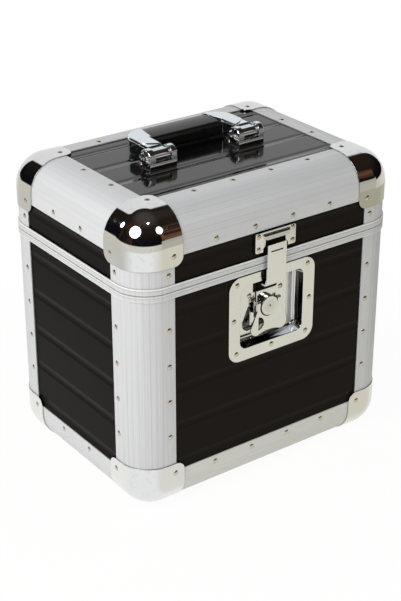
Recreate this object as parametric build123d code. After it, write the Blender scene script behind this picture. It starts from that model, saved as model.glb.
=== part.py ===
from build123d import *
import os

# A carrying case for twelve-inch records: an open-topped base and a deep hinged lid, both made of
# plywood panels gripped in round-edged aluminium profiles, with steel ball corners, a recessed
# butterfly catch, two stop hinges and a folding handle.
# Millimetres. +X is to the right of the front face, +Y goes back, +Z is up. The origin is on the
# surface that the case stands on, under its centre.

# ---- the case ------------------------------------------------------------------------------------
CASE_WIDTH = 360.0
CASE_DEPTH = 266.0
CASE_HEIGHT = 357.0
PART_LINE_HEIGHT = 270.9  # lid line, above the underside of the base
CAP_STAND = 1.2  # the ball corners stand this far out of the profiles
BOTTOM = CAP_STAND
TOP = BOTTOM + CASE_HEIGHT
PART_LINE = BOTTOM + PART_LINE_HEIGHT
HALF_WIDTH = CASE_WIDTH / 2
HALF_DEPTH = CASE_DEPTH / 2

# ---- walls: every depth is measured inwards from the outer face of the profiles ------------------
EDGE_RADIUS = 37.0
EDGE_LEG = 48.0  # from the outer corner to the end of each leg of a profile
SKIN = 1.5
PANEL_FACE = 1.5
PANEL_BACK = 10.5
INNER_SKIN = 10.6
INNER_SKIN_BACK = 12.1
WEB_START = 35.3
WEB_END = 36.8
PANEL_START = 37.0  # the panels end here, against the webs of the profiles
PROFILE_END = 49.0  # the profiles stop this far from the outer corners, under the ball corners
LINING_FACE = 12.3
LINING_BACK = 17.3
FIT = 0.05

# ---- the two rim profiles that meet on the lid line ----------------------------------------------
BAND_HALF = 7.5
BAND_STAND = 1.5
RIM_GAP = 0.2  # half of the gap on the lid line
RIM_WEB = 5.7  # from the lid line to the web that caps the panels
RIM_WALL = 1.4
RIM_LIP = 12.2
RIM_LIP_BACK = 13.4
RIM_LIP_REACH = 14.9
GROOVE = 4.0
GROOVE_BACK = 8.0
GROOVE_WALL = 1.4
TONGUE = 5.0
TONGUE_BACK = 7.0
TONGUE_REACH = 2.8

# ---- rivets --------------------------------------------------------------------------------------
RIVET_HEAD_RADIUS = 3.2
RIVET_HEAD_HEIGHT = 1.1
RIVET_SHANK_RADIUS = 1.6
RIVET_HOLE_RADIUS = 1.65
RIVET_INSET = 40.5
CAP_RIVET_INSET = 46.5
UPRIGHT_RIVET_START = 94.5
UPRIGHT_RIVET_PITCH = 43.8
UPRIGHT_RIVETS = 4
STUB_RIVET_HEIGHT = 290.0
LONG_EDGE_RIVETS = (-78.0, -26.0, 26.0, 78.0)
SHORT_EDGE_RIVETS = (-27.5, 27.5)

# ---- ball corners --------------------------------------------------------------------------------
CAP_REACH = 58.5
CAP_EAR_RADIUS = 11.0

# ---- latch, all depths behind the front face and all heights above the underside of the base -----
DISH_WIDTH = 120.0
DISH_LOW = 157.7
DISH_HIGH = 260.7
DISH_CORNER = 15.0
DISH_FRONT = 0.3
DISH_SHEET = 1.2
WELL_HALF_WIDTH = 44.4
WELL_LOW = 172.3
WELL_HIGH = 248.7
WELL_CORNER = 9.0
WELL_DEPTH = 14.0
WELL_DRAFT = 10.0  # degrees that the walls of the well lean in
WELL_FLOOR_RADIUS = 4.5
WELL_LIP_RADIUS = 0.9
NOTCH_HALF_WIDTH = 14.3
SLOT_HALF_WIDTH = 17.0
SLOT_LOW = 229.6
DISH_TOP_RIVETS = (49.5, 252.5)  # half spread and height of each pair
DISH_SIDE_RIVETS = (53.2, 209.5)
DISH_LOW_RIVETS = (49.5, 168.0)
DISH_MIDDLE_RIVET = 166.0
FLOOR_RIVET_X = 22.0
FLOOR_RIVET_RISE = 14.4  # above the cam

CAM_HEIGHT = 212.6
DISC_RADIUS = 11.6
DISC_FRONT = 4.2
DISC_BACK = 10.6
STEM_RADIUS = 2.2
STEM_END = 15.8
BUTTON_RADIUS = 1.6
BUTTON_STAND = 0.4
ECCENTRIC_RADIUS = 6.4
ECCENTRIC_THROW = 4.0
HOOK_PLATE = 11.1
HOOK_PLATE_BACK = 12.9
BUSH_RADIUS = 4.2
BUSH_FLANGE = 2.0

WING_FRONT = 5.4
WING_BACK = 7.0
WING_PIN_DEPTH = 8.0
WING_PIN_RISE = 5.0
WING_PIN_RADIUS = 1.2
WING_LUG_RADIUS = 2.6
WING_LUG_INNER = 12.2
WING_LUG_OUTER = 16.6
LOBE_X = 17.0
LOBE_DROP = 24.9
LOBE_RADIUS = 8.4
YOKE_FOOT = 3.6  # the yoke's sides are upright down to here, below the cam
SADDLE_RADIUS = 40.0
SADDLE_DROP = 29.9  # top of the hollow between the lobes
THUMB_X = -15.0
THUMB_DROP = 19.3
THUMB_RADIUS = 8.0

STRAP_HALF_WIDTH = 13.1
STRAP_TOP = 292.3
STRAP_FRONT = -6.2
STRAP_SHEET = 1.8
STRAP_BEND = 250.8  # where the strap leaves its upright front part
STRAP_FOLD = 242.0  # where it turns straight in
STRAP_FOLD_DEPTH = -2.2
STRAP_SHOULDER_RISE = 8.0
STRAP_SLOT_HALF = 8.4
STRAP_SLOT = (283.4, 284.9)
NOSE_GAP = 0.3

KEEPER_HALF_WIDTH = 27.8
KEEPER_LOW = 284.8
KEEPER_HIGH = 307.6
KEEPER_FRONT = -3.0
KEEPER_SHEET = 1.5
KEEPER_RIVET_X = 23.5
KEEPER_RIVET_HEIGHTS = (289.0, 304.2)
KEEPER_MOUTH = 13.9  # half width of the opening that the hook goes up through
KEEPER_FLARE = 17.2
KEEPER_FLARE_RISE = (4.0, 7.5)
KEEPER_BOSS = 0.9
HOOD_HALF_WIDTH = 19.4
HOOD_TAPER = 5.4
HOOD_LIP = 299.5
HOOD_SHOULDER = 303.7
HOOD_CREST = 305.6
HOOD_FRONT = -6.8
HOOD_LEAN = 0.9

# ---- hinges --------------------------------------------------------------------------------------
HINGE_X = 95.0
HINGE_HALF_LENGTH = 30.0
KNUCKLE_RADIUS = 2.5
HINGE_AXIS_STAND = BAND_STAND + 0.3 + KNUCKLE_RADIUS  # pin axis behind the rear face
LEAF = 1.2
HINGE_PIN_RADIUS = 1.2
LID_KNUCKLE_HALF = 14.9
BASE_KNUCKLE_START = 15.3
HINGE_RIVET_X = 20.0
BASE_HINGE_RIVETS = (-33.0, -17.0)
LID_HINGE_RIVETS = (16.0, 29.0)
BASE_LEAF_REACH = 42.0
LID_LEAF_REACH = 36.0

# ---- handle: heights above the top face, x from the handle's own middle --------------------------
HANDLE_X = -2.5
BRACKET_X = 61.0
BRACKET_HALF_WIDTH = 18.3
BRACKET_FRONT = -17.0
BRACKET_BACK = 10.5
BRACKET_WALL = 1.2
BRACKET_WALL_TOP = 15.3
BRACKET_PLATE_TOP = 0.2
PIVOT_Y = -7.5
PIVOT_RISE = 10.2
PIVOT_PIN_RADIUS = 2.5
CHEEK_RADIUS = 10.3
CHEEK_INNER = 10.9
CHEEK_POCKET = 4.0
CHEEK_POCKET_LOW = (6.6, 8.2)  # the pocket's lower edge, at the front wall and further back
BRACKET_WINDOW_HALF = 11.5
BRACKET_WINDOW = (5.4, 14.0)
BRACKET_SIDE = 0.4
HUB_RADIUS = 7.8
HUB_HALF_WIDTH = 10.5
GRIP_FRONT = 23.0
GRIP_BACK = 55.8
GRIP_LOW = 1.0
GRIP_HIGH = 20.0
GRIP_SHOULDERS = (17.4, 18.6)  # heights where the crowned top meets the front and the back
GRIP_CORNER = 5.0
GRIP_END_FRONT = 49.4  # the grip's ends are slanted: half lengths at its front and at its back
GRIP_END_BACK = 43.8
ARM_OUTER = 71.5
ARM_EDGE_RADIUS = 3.5
ARM_LOW = 3.0
ARM_HIGH = 20.6
ARM_PADDLE = 14.0  # the arms are deeper below from here back
ARM_STEP = 0.9
ARM_HUB_HIGH = 18.1  # the arms drop to this by the hub, to clear the bracket's front wall when up
ARM_HUB_END = (-1.4, 0.8)
GRIP_ROD_RADIUS = 3.0
GRIP_ROD_HALF_LENGTH = 52.4
SCREW_RADIUS = 2.0
SCREW_HOLE_RADIUS = 2.1
SCREW_HEAD_RADIUS = 3.4
SCREW_HEAD_HEIGHT = 1.6
SCREW_SPREAD = 13.0
SCREW_Y = 6.0
SCREW_SLOT = 0.8
BACKING_SHEET = 1.4
BACKING_HALF_LENGTH = 18.0

FRONT = Vector(0, -1, 0)
BACK = Vector(0, 1, 0)
LEFT = Vector(-1, 0, 0)
RIGHT = Vector(1, 0, 0)
UP = Vector(0, 0, 1)
DOWN = Vector(0, 0, -1)


# ---- helpers -------------------------------------------------------------------------------------
def block(x, y, z):
    """A box from three (low, high) pairs."""
    centre = Pos((x[0] + x[1]) / 2, (y[0] + y[1]) / 2, (z[0] + z[1]) / 2)
    return centre * Box(x[1] - x[0], y[1] - y[0], z[1] - z[0])


def rod(start, end, radius):
    """A round bar between two points."""
    along = Vector(*end) - Vector(*start)
    place = Plane(origin=start, z_dir=along).location
    return place * Cylinder(radius, along.length, align=(Align.CENTER, Align.CENTER, Align.MIN))


def front_y(depth):
    """The y of a plane this far behind the front face of the case."""
    return depth - HALF_DEPTH


def side_prism(outline, x):
    """A (y, z) outline drawn out along X between two x values."""
    face = make_face(Plane.YZ * Polyline(*outline, close=True))
    return Pos(x[0], 0, 0) * extrude(face, amount=x[1] - x[0], dir=(1, 0, 0))


def front_prism(sketch, depth):
    """A sketch seen from the front (x, z), drawn out between two depths behind the front face."""
    face = Plane(origin=(0, front_y(depth[1]), 0), x_dir=(1, 0, 0), z_dir=(0, -1, 0)) * sketch
    return extrude(face, amount=depth[1] - depth[0], dir=(0, -1, 0))


def ring(depth, z):
    """A wall that follows the rounded outline of the case, between two depths and two heights."""
    outlines = [
        RectangleRounded(CASE_WIDTH - 2 * d, CASE_DEPTH - 2 * d, EDGE_RADIUS - d) for d in depth
    ]
    return Pos(0, 0, z[0]) * extrude(outlines[0] - outlines[1], amount=z[1] - z[0])


def to_corner(shape, sx, sy, sz):
    """Put a piece modelled on the front left bottom corner (legs along +X, +Y, +Z) on any corner."""
    if sx > 0:
        shape = mirror(shape, about=Plane.YZ)
    if sy > 0:
        shape = mirror(shape, about=Plane.XZ)
    if sz > 0:
        shape = mirror(shape, about=Plane.XY)
    return Pos(sx * HALF_WIDTH, sy * HALF_DEPTH, TOP if sz > 0 else BOTTOM) * shape


def save(name, *solids):
    """Write one node."""
    shape = solids[0] if len(solids) == 1 else Compound(children=list(solids))
    export_step(shape, f"parts/{name}.step")


# ---- rivets --------------------------------------------------------------------------------------
# A rivet spot is (point under the head, outward normal, length of the shank).
def spots(points, normal, stand=0.0, shank=INNER_SKIN_BACK):
    """Rivet spots on one face; stand is how far the riveted sheet stands out of the profiles."""
    return [(Vector(*p) + normal * stand, normal, shank + stand) for p in points]


def dome_rivet(spot):
    point, normal, shank = spot
    ball = (RIVET_HEAD_RADIUS**2 + RIVET_HEAD_HEIGHT**2) / (2 * RIVET_HEAD_HEIGHT)
    head = Pos(0, 0, RIVET_HEAD_HEIGHT - ball) * Sphere(ball)
    head &= block((-4, 4), (-4, 4), (0, 4))
    pin = rod((0, 0, 0.2), (0, 0, -shank), RIVET_SHANK_RADIUS)
    return Plane(origin=point, z_dir=normal).location * (head + pin)


def flush_rivet(spot):
    """A flat-headed rivet that ends level with the sheet it holds."""
    point, normal, shank = spot
    head = rod((0, 0, 0), (0, 0, -CAP_STAND + FIT), RIVET_HEAD_RADIUS)
    pin = rod((0, 0, 0), (0, 0, -shank), RIVET_SHANK_RADIUS)
    return Plane(origin=point, z_dir=normal).location * (head + pin)


def drill(shape, rivets, radius=RIVET_HOLE_RADIUS, extra=0.3):
    """Cut the holes of those rivets that reach the shape."""
    box = shape.bounding_box()
    tools = []
    for point, normal, shank in rivets:
        ends = (point + normal * extra, point - normal * (shank + extra))
        low = [min(a, b) - radius for a, b in zip(*ends)]
        high = [max(a, b) + radius for a, b in zip(*ends)]
        if all(l < m for l, m in zip(low, box.max)) and all(h > n for h, n in zip(high, box.min)):
            tools.append(rod(tuple(ends[0]), tuple(ends[1]), radius))
    return shape - tools if tools else shape


def ring_spots(heights, insets_x, insets_y):
    """Rivets at the given heights on all four walls, at these x on the long and y on the short ones."""
    found = []
    for z in heights:
        found += spots([(x, -HALF_DEPTH, z) for x in insets_x], FRONT)
        found += spots([(x, HALF_DEPTH, z) for x in insets_x], BACK)
        found += spots([(-HALF_WIDTH, y, z) for y in insets_y], LEFT)
        found += spots([(HALF_WIDTH, y, z) for y in insets_y], RIGHT)
    return found


def upright_spots(heights):
    """Rivets along the legs of the four uprights."""
    x = HALF_WIDTH - RIVET_INSET
    y = HALF_DEPTH - RIVET_INSET
    return ring_spots(heights, (-x, x), (-y, y))


def flat_spots(z, normal):
    """Rivets in the horizontal legs of the edge profiles, on the top or the bottom face."""
    x = HALF_WIDTH - RIVET_INSET
    y = HALF_DEPTH - RIVET_INSET
    points = [(u, s * y, z) for u in LONG_EDGE_RIVETS for s in (-1, 1)]
    points += [(s * x, v, z) for v in SHORT_EDGE_RIVETS for s in (-1, 1)]
    return spots(points, normal)


def cap_wall_spots(z):
    """The two rivets of each ball corner that sit on the walls."""
    x = HALF_WIDTH - CAP_RIVET_INSET
    y = HALF_DEPTH - CAP_RIVET_INSET
    found = []
    for s in (-1, 1):
        found += spots([(s * x, -HALF_DEPTH, z)], FRONT, CAP_STAND, PANEL_BACK)
        found += spots([(s * x, HALF_DEPTH, z)], BACK, CAP_STAND, PANEL_BACK)
        found += spots([(-HALF_WIDTH, s * y, z)], LEFT, CAP_STAND, PANEL_BACK)
        found += spots([(HALF_WIDTH, s * y, z)], RIGHT, CAP_STAND, PANEL_BACK)
    return found


def cap_flat_spots(z, normal):
    """The third rivet of each ball corner, on the top or the bottom face."""
    x = HALF_WIDTH - CAP_RIVET_INSET
    y = HALF_DEPTH - CAP_RIVET_INSET
    points = [(sx * x, sy * y, z) for sx in (-1, 1) for sy in (-1, 1)]
    return spots(points, normal, CAP_STAND, PANEL_BACK)


def hinge_spots(drops):
    """The rivets of both hinges, at these heights from the lid line."""
    xs = [s * HINGE_X + t * HINGE_RIVET_X for s in (-1, 1) for t in (-1, 1)]
    return spots([(x, HALF_DEPTH, PART_LINE + d) for x in xs for d in drops], BACK)


UPRIGHT_HEIGHTS = [BOTTOM + UPRIGHT_RIVET_START + i * UPRIGHT_RIVET_PITCH for i in range(UPRIGHT_RIVETS)]
BASE_PROFILE_RIVETS = (
    upright_spots(UPRIGHT_HEIGHTS)
    + ring_spots([BOTTOM + RIVET_INSET], LONG_EDGE_RIVETS, SHORT_EDGE_RIVETS)
    + flat_spots(BOTTOM, DOWN)
)
LID_PROFILE_RIVETS = (
    upright_spots([BOTTOM + STUB_RIVET_HEIGHT])
    + ring_spots([TOP - RIVET_INSET], LONG_EDGE_RIVETS, SHORT_EDGE_RIVETS)
    + flat_spots(TOP, UP)
)
BASE_CAP_RIVETS = cap_wall_spots(BOTTOM + CAP_RIVET_INSET)
BASE_CAP_FLUSH_RIVETS = cap_flat_spots(BOTTOM, DOWN)
LID_CAP_RIVETS = cap_wall_spots(TOP - CAP_RIVET_INSET) + cap_flat_spots(TOP, UP)
BASE_HINGE_SPOTS = hinge_spots(BASE_HINGE_RIVETS)
LID_HINGE_SPOTS = hinge_spots(LID_HINGE_RIVETS)
DISH_RIVETS = [(0, DISH_MIDDLE_RIVET)]
for half_spread, height in (DISH_TOP_RIVETS, DISH_SIDE_RIVETS, DISH_LOW_RIVETS):
    DISH_RIVETS += [(-half_spread, height), (half_spread, height)]
DISH_SPOTS = [
    (Vector(x, front_y(DISH_FRONT), BOTTOM + z), FRONT, PANEL_BACK - DISH_FRONT)
    for x, z in DISH_RIVETS
]
FLOOR_SPOTS = [
    (Vector(s * FLOOR_RIVET_X, front_y(WELL_DEPTH), BOTTOM + CAM_HEIGHT + FLOOR_RIVET_RISE), FRONT, 1.9)
    for s in (-1, 1)
]
KEEPER_SPOTS = [
    (Vector(s * KEEPER_RIVET_X, front_y(KEEPER_FRONT), BOTTOM + z), FRONT, PANEL_BACK - KEEPER_FRONT)
    for s in (-1, 1)
    for z in KEEPER_RIVET_HEIGHTS
]
BASE_HOLES = BASE_PROFILE_RIVETS + BASE_CAP_RIVETS + BASE_CAP_FLUSH_RIVETS
BASE_HOLES += BASE_HINGE_SPOTS + DISH_SPOTS
LID_HOLES = LID_PROFILE_RIVETS + LID_CAP_RIVETS + LID_HINGE_SPOTS + KEEPER_SPOTS


# ---- panels --------------------------------------------------------------------------------------
def wall_panels(z):
    """The four upright plywood panels between two heights: front, back, left and right."""
    x = HALF_WIDTH - PANEL_START
    y = HALF_DEPTH - PANEL_START
    near = (-HALF_DEPTH + PANEL_FACE, -HALF_DEPTH + PANEL_BACK)
    side = (-HALF_WIDTH + PANEL_FACE, -HALF_WIDTH + PANEL_BACK)
    return {
        "front": block((-x, x), near, z),
        "back": block((-x, x), (-near[1], -near[0]), z),
        "left": block(side, (-y, y), z),
        "right": block((-side[1], -side[0]), (-y, y), z),
    }


def flat_panel(z):
    x = HALF_WIDTH - PANEL_START
    y = HALF_DEPTH - PANEL_START
    return block((-x, x), (-y, y), z)


def make_panels():
    base_z = (BOTTOM + PANEL_START, PART_LINE - RIM_WEB - FIT)
    lid_z = (PART_LINE + RIM_WEB + FIT, TOP - PANEL_START)
    for name, panel in wall_panels(base_z).items():
        if name == "front":
            panel -= well_prism(1.4, (PANEL_FACE - 1, PANEL_BACK + 1))
        save(f"base_{name}_panel", drill(panel, BASE_HOLES))
    for name, panel in wall_panels(lid_z).items():
        save(f"lid_{name}_panel", drill(panel, LID_HOLES))
    floor = flat_panel((BOTTOM + PANEL_FACE, BOTTOM + PANEL_BACK))
    save("base_floor_panel", drill(floor, BASE_HOLES))
    roof = flat_panel((TOP - PANEL_BACK, TOP - PANEL_FACE))
    save("lid_top_panel", drill(drill(roof, LID_HOLES), handle_screw_spots(), SCREW_HOLE_RADIUS))


# ---- edge profiles -------------------------------------------------------------------------------
def profile_section():
    """Outer and inner skin round the corner, with the two webs that the panels stop against."""

    def skin(depth):
        size = 4 * EDGE_LEG
        squares = [
            Pos(d + size / 2, d + size / 2) * RectangleRounded(size, size, EDGE_RADIUS - d)
            for d in depth
        ]
        reach = Pos(EDGE_LEG / 2, EDGE_LEG / 2) * Rectangle(EDGE_LEG, EDGE_LEG)
        return (squares[0] - squares[1]) & reach

    web_middle = (WEB_START + WEB_END) / 2
    web_low = SKIN - 0.3
    web_high = INNER_SKIN + 0.5
    web = Rectangle(WEB_END - WEB_START, web_high - web_low)
    section = skin((0, SKIN)) + skin((INNER_SKIN, INNER_SKIN_BACK))
    section += Pos(web_middle, (web_low + web_high) / 2) * web
    section += Pos((web_low + web_high) / 2, web_middle) * Rot(0, 0, 90) * web
    return section


SECTION = profile_section()


def edge_profile(middle, leg_a, leg_b, length):
    """A length of profile with its outer corner line through the middle point."""
    place = Plane(origin=middle, x_dir=leg_a, z_dir=leg_a.cross(leg_b)).location
    return place * extrude(SECTION, amount=length / 2, both=True)


def make_uprights(z):
    """The four upright profiles between two heights."""
    middle = (z[0] + z[1]) / 2
    found = {}
    for y_name, sy, in_y in (("front", -1, BACK), ("back", 1, FRONT)):
        for x_name, sx, in_x in (("left", -1, RIGHT), ("right", 1, LEFT)):
            corner = (sx * HALF_WIDTH, sy * HALF_DEPTH, middle)
            found[f"{y_name}_{x_name}"] = edge_profile(corner, in_x, in_y, z[1] - z[0])
    return found


def make_edges(z, inwards):
    """The four horizontal profiles round the top or the bottom face."""
    long = CASE_WIDTH - 2 * PROFILE_END
    short = CASE_DEPTH - 2 * PROFILE_END
    return {
        "front": edge_profile((0, -HALF_DEPTH, z), BACK, inwards, long),
        "back": edge_profile((0, HALF_DEPTH, z), FRONT, inwards, long),
        "left": edge_profile((-HALF_WIDTH, 0, z), RIGHT, inwards, short),
        "right": edge_profile((HALF_WIDTH, 0, z), LEFT, inwards, short),
    }


def make_profiles():
    for name, bar in make_uprights((BOTTOM + PROFILE_END, PART_LINE - RIM_WEB - FIT)).items():
        save(f"base_upright_{name}", drill(bar, BASE_PROFILE_RIVETS))
    stubs = make_uprights((PART_LINE + RIM_WEB + FIT, TOP - PROFILE_END)).values()
    save("lid_upright_stubs", *[drill(bar, LID_PROFILE_RIVETS) for bar in stubs])
    for name, bar in make_edges(BOTTOM, UP).items():
        save(f"base_edge_profile_{name}", drill(bar, BASE_PROFILE_RIVETS))
    for name, bar in make_edges(TOP, DOWN).items():
        save(f"lid_edge_profile_{name}", drill(bar, LID_PROFILE_RIVETS))


# ---- rims ----------------------------------------------------------------------------------------
def rim_body(up):
    """The parts that both rims share; up is +1 for the lid's and -1 for the base's."""

    def heights(near, far):
        pair = (PART_LINE + up * near, PART_LINE + up * far)
        return (min(pair), max(pair))

    body = ring((-BAND_STAND, -FIT), heights(RIM_GAP, BAND_HALF))
    body += ring((-BAND_STAND, RIM_LIP_BACK), heights(RIM_WEB - RIM_WALL, RIM_WEB))
    body += ring((RIM_LIP, RIM_LIP_BACK), heights(RIM_GAP, RIM_LIP_REACH))
    return body, heights


def make_rims():
    base, heights = rim_body(-1)
    for edge in (GROOVE - GROOVE_WALL, GROOVE_BACK):
        base += ring((edge, edge + GROOVE_WALL), heights(RIM_GAP, RIM_WEB))
    for land in ((-BAND_STAND, GROOVE), (GROOVE_BACK, RIM_LIP_BACK)):
        base += ring(land, heights(RIM_GAP, RIM_GAP + RIM_WALL))
    save("base_rim_profile", base)
    lid, heights = rim_body(1)
    lid += ring((-BAND_STAND, RIM_LIP_BACK), heights(RIM_GAP, RIM_GAP + RIM_WALL))
    lid += ring((TONGUE, TONGUE_BACK), heights(-TONGUE_REACH, RIM_WEB))
    save("lid_rim_profile", lid)


# ---- ball corners --------------------------------------------------------------------------------
def rounded_cube(low, high, at_low, radius):
    """A cube from low to high on each axis, with the three edges at one of its corners rounded."""
    cube = block((low, high), (low, high), (low, high))
    corner = low if at_low else high

    def meets_corner(edge):
        middle = edge.center()
        return sum(abs(c - corner) < 0.01 for c in (middle.X, middle.Y, middle.Z)) == 2

    return fillet(cube.edges().filter_by(meets_corner), radius)


def corner_cap():
    """A pressed ball corner with three legs and three ears, on the front left bottom corner."""
    size = 2 * CAP_REACH
    outer = rounded_cube(-CAP_STAND, size, True, EDGE_RADIUS + CAP_STAND)
    inner = rounded_cube(-FIT, size + 10, True, EDGE_RADIUS + FIT)
    reach = rounded_cube(-10, CAP_REACH, False, CAP_EAR_RADIUS)
    return (outer - inner) & reach


def make_caps():
    cap = corner_cap()
    for z_name, sz, holes, flush in (
        ("base", -1, BASE_CAP_RIVETS, BASE_CAP_FLUSH_RIVETS),
        ("lid", 1, LID_CAP_RIVETS, []),
    ):
        for y_name, sy in (("front", -1), ("back", 1)):
            for x_name, sx in (("left", -1), ("right", 1)):
                placed = drill(to_corner(cap, sx, sy, sz), holes)
                placed = drill(placed, flush, RIVET_HEAD_RADIUS + FIT)
                save(f"{z_name}_corner_{y_name}_{x_name}", placed)


# ---- linings -------------------------------------------------------------------------------------
def make_linings():
    """Foam boards glued inside the panels, between the inner skins of the profiles."""
    x = HALF_WIDTH - EDGE_RADIUS
    y = HALF_DEPTH - EDGE_RADIUS
    near = (-HALF_DEPTH + LINING_FACE, -HALF_DEPTH + LINING_BACK)
    side = (-HALF_WIDTH + LINING_FACE, -HALF_WIDTH + LINING_BACK)

    def boards(z, flat_z):
        return [
            block((-x, x), near, z),
            block((-x, x), (-near[1], -near[0]), z),
            block(side, (-y, y), z),
            block((-side[1], -side[0]), (-y, y), z),
            block((-x, x), (-y, y), flat_z),
        ]

    base = boards(
        (BOTTOM + EDGE_RADIUS, PART_LINE - RIM_LIP_REACH - 1),
        (BOTTOM + LINING_FACE, BOTTOM + LINING_BACK),
    )
    pocket = (LINING_FACE - 1, STEM_END + 0.4)
    base[0] -= well_prism(3.5, pocket)
    save("base_lining", *base)
    lid = boards(
        (PART_LINE + RIM_LIP_REACH + 1, TOP - EDGE_RADIUS),
        (TOP - LINING_BACK, TOP - LINING_FACE),
    )
    save("lid_lining", *lid)


# ---- latch dish ----------------------------------------------------------------------------------
def well_prism(grow, depth):
    """The well of the latch dish, grown sideways by a margin, between two depths."""
    middle = BOTTOM + (WELL_LOW + WELL_HIGH) / 2
    outline = RectangleRounded(
        2 * (WELL_HALF_WIDTH + grow), WELL_HIGH - WELL_LOW + 2 * grow, WELL_CORNER + grow
    )
    return front_prism(Pos(0, middle) * outline, depth)


def drafted_well(grow, floor, radius):
    """The well with walls that lean in towards a floor with rounded edges."""
    middle = BOTTOM + (WELL_LOW + WELL_HIGH) / 2
    height = WELL_HIGH - WELL_LOW + 2 * grow
    outline = RectangleRounded(2 * (WELL_HALF_WIDTH + grow), height, WELL_CORNER + grow)
    plane = Plane(origin=(0, front_y(DISH_FRONT), middle), x_dir=(1, 0, 0), z_dir=(0, 1, 0))
    well = extrude(plane * outline, amount=floor - DISH_FRONT, taper=WELL_DRAFT)
    return fillet(well.faces().sort_by(Axis.Y)[-1].edges(), radius)


def make_dish():
    flange_middle = BOTTOM + (DISH_LOW + DISH_HIGH) / 2
    flange = RectangleRounded(DISH_WIDTH, DISH_HIGH - DISH_LOW, DISH_CORNER)
    dish = front_prism(Pos(0, flange_middle) * flange, (DISH_FRONT, DISH_FRONT + DISH_SHEET))
    dish += drafted_well(DISH_SHEET, WELL_DEPTH + DISH_SHEET, WELL_FLOOR_RADIUS + DISH_SHEET)
    dish -= drafted_well(0, WELL_DEPTH, WELL_FLOOR_RADIUS)
    lip = [e for e in dish.faces().sort_by(Axis.Y)[0].inner_wires()[0].edges()]
    dish = fillet(lip, WELL_LIP_RADIUS)
    notch = (-NOTCH_HALF_WIDTH, NOTCH_HALF_WIDTH)
    slot = (-SLOT_HALF_WIDTH, SLOT_HALF_WIDTH)
    above = BOTTOM + DISH_HIGH + 5
    dish -= block(notch, (front_y(-5), front_y(5)), (BOTTOM + WELL_HIGH - 3, above))
    dish -= block(slot, (front_y(DISH_FRONT + DISH_SHEET + 0.3), front_y(20)), (BOTTOM + SLOT_LOW, above))
    dish -= rod(cam_point(WELL_DEPTH - 1), cam_point(WELL_DEPTH + 5), BUSH_RADIUS + FIT)
    save("latch_dish", drill(drill(dish, DISH_SPOTS), FLOOR_SPOTS))


def cam_point(depth, rise=0.0):
    """A point straight behind the middle of the latch disc."""
    return (0, front_y(depth), BOTTOM + CAM_HEIGHT + rise)


def make_cam():
    """Disc, stem and eccentric in one piece, and the bush that carries the stem."""
    disc = rod(cam_point(DISC_BACK), cam_point(DISC_FRONT), DISC_RADIUS)
    disc = fillet(disc.edges().sort_by(Axis.Y)[0], 0.8)
    button = rod(cam_point(DISC_FRONT + 0.5), cam_point(DISC_FRONT - BUTTON_STAND), BUTTON_RADIUS)
    stem = rod(cam_point(DISC_BACK - 0.5), cam_point(STEM_END), STEM_RADIUS)
    ends = [cam_point(depth, -ECCENTRIC_THROW) for depth in (HOOK_PLATE, HOOK_PLATE_BACK)]
    eccentric = rod(ends[0], ends[1], ECCENTRIC_RADIUS)
    cam = disc + button + stem + eccentric
    cam -= wing_pin_rod(WING_PIN_RADIUS + 0.02, 20)
    save("latch_cam", cam)
    bush = rod(cam_point(WELL_DEPTH - 0.6), cam_point(STEM_END), BUSH_RADIUS)
    bush += rod(cam_point(WELL_DEPTH + DISH_SHEET), cam_point(STEM_END), BUSH_RADIUS + BUSH_FLANGE)
    bush -= rod(cam_point(WELL_DEPTH - 2), cam_point(STEM_END + 2), STEM_RADIUS + FIT)
    save("latch_bush", bush)


def wing_pin_rod(radius, half_length):
    y = front_y(WING_PIN_DEPTH)
    z = BOTTOM + CAM_HEIGHT + WING_PIN_RISE
    return rod((-half_length, y, z), (half_length, y, z), radius)


def wing_outline():
    """Two round lobes below a yoke that straddles the disc, about the middle of the disc."""
    yoke = [
        (WING_LUG_OUTER, WING_PIN_RISE),
        (WING_LUG_OUTER, -YOKE_FOOT),
        (LOBE_X + LOBE_RADIUS, -LOBE_DROP + 1),
        (LOBE_X - 5, -LOBE_DROP - 6.8),
    ]
    left = [(-x, z) for x, z in reversed(yoke)]
    outline = make_face(Polyline(*yoke, *left, close=True))
    for s in (-1, 1):
        outline += Pos(s * LOBE_X, -LOBE_DROP) * Circle(LOBE_RADIUS)
    outline -= Pos(0, -SADDLE_DROP - SADDLE_RADIUS) * Circle(SADDLE_RADIUS)
    outline -= Circle(WING_LUG_INNER)
    outline -= Pos(0, 10) * Rectangle(2 * WING_LUG_INNER, 20)
    half_plane = Pos(THUMB_X + THUMB_RADIUS, -THUMB_DROP) * Rectangle(16, 20)
    thumb = (Pos(THUMB_X, -THUMB_DROP) * Circle(THUMB_RADIUS)) & half_plane
    return outline - thumb


def make_wing():
    height = BOTTOM + CAM_HEIGHT
    wing = front_prism(Pos(0, height) * wing_outline(), (WING_FRONT, WING_BACK))
    y = front_y(WING_PIN_DEPTH)
    z = height + WING_PIN_RISE
    for s in (-1, 1):
        wing += rod((s * WING_LUG_INNER, y, z), (s * WING_LUG_OUTER, y, z), WING_LUG_RADIUS)
    wing -= wing_pin_rod(WING_PIN_RADIUS + FIT, 20)
    save("latch_wing", wing)
    save("latch_wing_pin", wing_pin_rod(WING_PIN_RADIUS, WING_LUG_OUTER + 0.4))


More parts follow.
